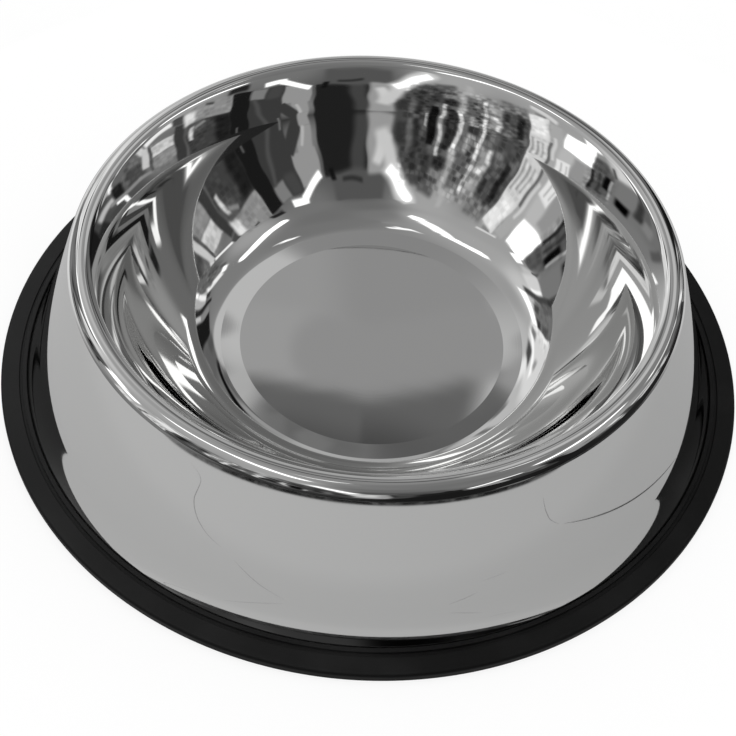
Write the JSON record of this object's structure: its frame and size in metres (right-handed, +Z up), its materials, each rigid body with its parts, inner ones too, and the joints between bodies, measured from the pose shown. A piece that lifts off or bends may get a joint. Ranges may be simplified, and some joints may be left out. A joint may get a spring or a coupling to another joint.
{
  "type": "pet bowl",
  "caption": "Low round pet food bowl: a polished steel dish with a wide sloping skirt, gripped at its foot by a black rubber ring that stops it from sliding and tipping.",
  "frame": {"origin": "centre of the rubber ring's underside, on the surface the bowl stands on", "axes": "+Z up along the bowl's axis; the bowl is round, so X and Y are alike"},
  "size_m": [0.2535, 0.2534, 0.0545],
  "materials": {
    "polished_steel": "stainless steel, mirror polished, with a satin floor inside the dish",
    "black_rubber": "moulded black rubber, matt with a slight sheen"
  },
  "bodies": {
    "root": {"steel_bowl": "polished_steel", "rubber_ring": "black_rubber"}
  },
  "joints": []
}
